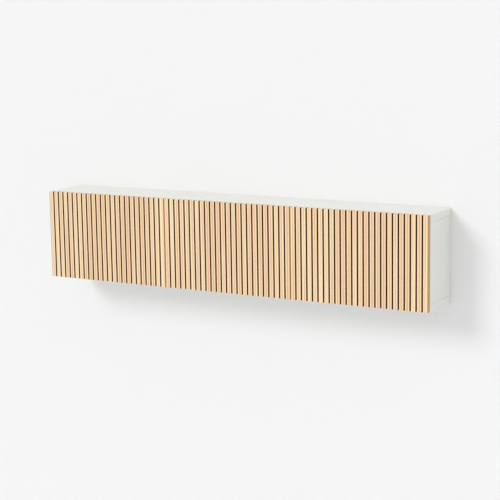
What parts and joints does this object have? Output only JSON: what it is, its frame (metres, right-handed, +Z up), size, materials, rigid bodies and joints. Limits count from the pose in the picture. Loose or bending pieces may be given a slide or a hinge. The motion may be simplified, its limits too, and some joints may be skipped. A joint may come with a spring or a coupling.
{
  "type": "wall cabinet",
  "caption": "Long shallow wall-hung cabinet with flush slatted wood doors on concealed hinges, push latches and a hidden hanging rail.",
  "frame": {"origin": "middle of the length and height of the middle wall rail, on its rear face, which lies on the wall", "axes": "+X along the row of cabinets to the right as seen from the front, +Y into the wall, +Z up; the doors face -Y"},
  "size_m": [1.7998, 0.223, 0.38],
  "materials": {
    "white_foil": "satin white foil on board",
    "birch": "clear-lacquered birch slats",
    "white_board": "white hardboard",
    "zinc_plate": "zinc-plated steel",
    "hinge_nickel": "nickel-plated steel",
    "white_plastic": "white moulded plastic",
    "grey_plastic": "grey moulded plastic"
  },
  "bodies": {
    "cabinet": {"top_board_left": "white_foil", "bottom_board_left": "white_foil", "side_left_left": "white_foil", "side_right_left": "white_foil", "back_panel_left": "white_board", "wall_rail_left": "zinc_plate", "hanger_block_left_left": "white_plastic", "hanger_hook_left_left": "zinc_plate", "hanger_block_right_left": "white_plastic", "hanger_hook_right_left": "zinc_plate", "hinge_arm_upper_left": "hinge_nickel", "hinge_arm_lower_left": "hinge_nickel", "latch_housing_left": "white_plastic", "top_board_middle": "white_foil", "bottom_board_middle": "white_foil", "side_left_middle": "white_foil", "side_right_middle": "white_foil", "back_panel_middle": "white_board", "wall_rail_middle": "zinc_plate", "hanger_block_left_middle": "white_plastic", "hanger_hook_left_middle": "zinc_plate", "hanger_block_right_middle": "white_plastic", "hanger_hook_right_middle": "zinc_plate", "hinge_arm_upper_middle": "hinge_nickel", "hinge_arm_lower_middle": "hinge_nickel", "latch_housing_middle": "white_plastic", "top_board_right": "white_foil", "bottom_board_right": "white_foil", "side_left_right": "white_foil", "side_right_right": "white_foil", "back_panel_right": "white_board", "wall_rail_right": "zinc_plate", "hanger_block_left_right": "white_plastic", "hanger_hook_left_right": "zinc_plate", "hanger_block_right_right": "white_plastic", "hanger_hook_right_right": "zinc_plate", "hinge_arm_upper_right": "hinge_nickel", "hinge_arm_lower_right": "hinge_nickel", "latch_housing_right": "white_plastic"},
    "hinge_links_left": {"hinge_link_upper_left": "zinc_plate", "hinge_link_lower_left": "zinc_plate"},
    "swinging_door_left": {"door_left": "birch", "hinge_cup_upper_left": "hinge_nickel", "hinge_cup_lower_left": "hinge_nickel", "latch_striker_left": "zinc_plate"},
    "push_plunger_left": {"latch_plunger_left": "grey_plastic"},
    "hinge_links_middle": {"hinge_link_upper_middle": "zinc_plate", "hinge_link_lower_middle": "zinc_plate"},
    "swinging_door_middle": {"door_middle": "birch", "hinge_cup_upper_middle": "hinge_nickel", "hinge_cup_lower_middle": "hinge_nickel", "latch_striker_middle": "zinc_plate"},
    "push_plunger_middle": {"latch_plunger_middle": "grey_plastic"},
    "hinge_links_right": {"hinge_link_upper_right": "zinc_plate", "hinge_link_lower_right": "zinc_plate"},
    "swinging_door_right": {"door_right": "birch", "hinge_cup_upper_right": "hinge_nickel", "hinge_cup_lower_right": "hinge_nickel", "latch_striker_right": "zinc_plate"},
    "push_plunger_right": {"latch_plunger_right": "grey_plastic"}
  },
  "joints": [
    {"name": "hinge_links_left_turn", "type": "hinge", "parent": "cabinet", "child": "hinge_links_left", "pos_m": [-0.8563, -0.1967, -0.105], "axis": [0, 0, -1], "range_deg": [-35.2, 0]},
    {"name": "door_left_swing", "type": "hinge", "parent": "hinge_links_left", "child": "swinging_door_left", "pos_m": [-0.8843, -0.20875, -0.105], "axis": [0, 0, -1], "range_deg": [0, 130.15]},
    {"name": "latch_left_push", "type": "slide", "parent": "cabinet", "child": "push_plunger_left", "axis": [0, 1, 0], "range_m": [0, 0.002], "stiffness_N_per_m": 600},
    {"name": "hinge_links_middle_turn", "type": "hinge", "parent": "cabinet", "child": "hinge_links_middle", "pos_m": [-0.2563, -0.1967, -0.105], "axis": [0, 0, -1], "range_deg": [-35.2, 0]},
    {"name": "door_middle_swing", "type": "hinge", "parent": "hinge_links_middle", "child": "swinging_door_middle", "pos_m": [-0.2843, -0.20875, -0.105], "axis": [0, 0, -1], "range_deg": [0, 130.15]},
    {"name": "latch_middle_push", "type": "slide", "parent": "cabinet", "child": "push_plunger_middle", "axis": [0, 1, 0], "range_m": [0, 0.002], "stiffness_N_per_m": 600},
    {"name": "hinge_links_right_turn", "type": "hinge", "parent": "cabinet", "child": "hinge_links_right", "pos_m": [0.8563, -0.1967, -0.105], "axis": [0, 0, 1], "range_deg": [-35.2, 0]},
    {"name": "door_right_swing", "type": "hinge", "parent": "hinge_links_right", "child": "swinging_door_right", "pos_m": [0.8843, -0.20875, -0.105], "axis": [0, 0, 1], "range_deg": [0, 130.15]},
    {"name": "latch_right_push", "type": "slide", "parent": "cabinet", "child": "push_plunger_right", "axis": [0, 1, 0], "range_m": [0, 0.002], "stiffness_N_per_m": 600}
  ],
  "couplings": [
    {"joint": "hinge_links_left_turn", "follows": "door_left_swing", "ratio": -0.27007},
    {"joint": "hinge_links_middle_turn", "follows": "door_middle_swing", "ratio": -0.27007},
    {"joint": "hinge_links_right_turn", "follows": "door_right_swing", "ratio": -0.27007}
  ]
}
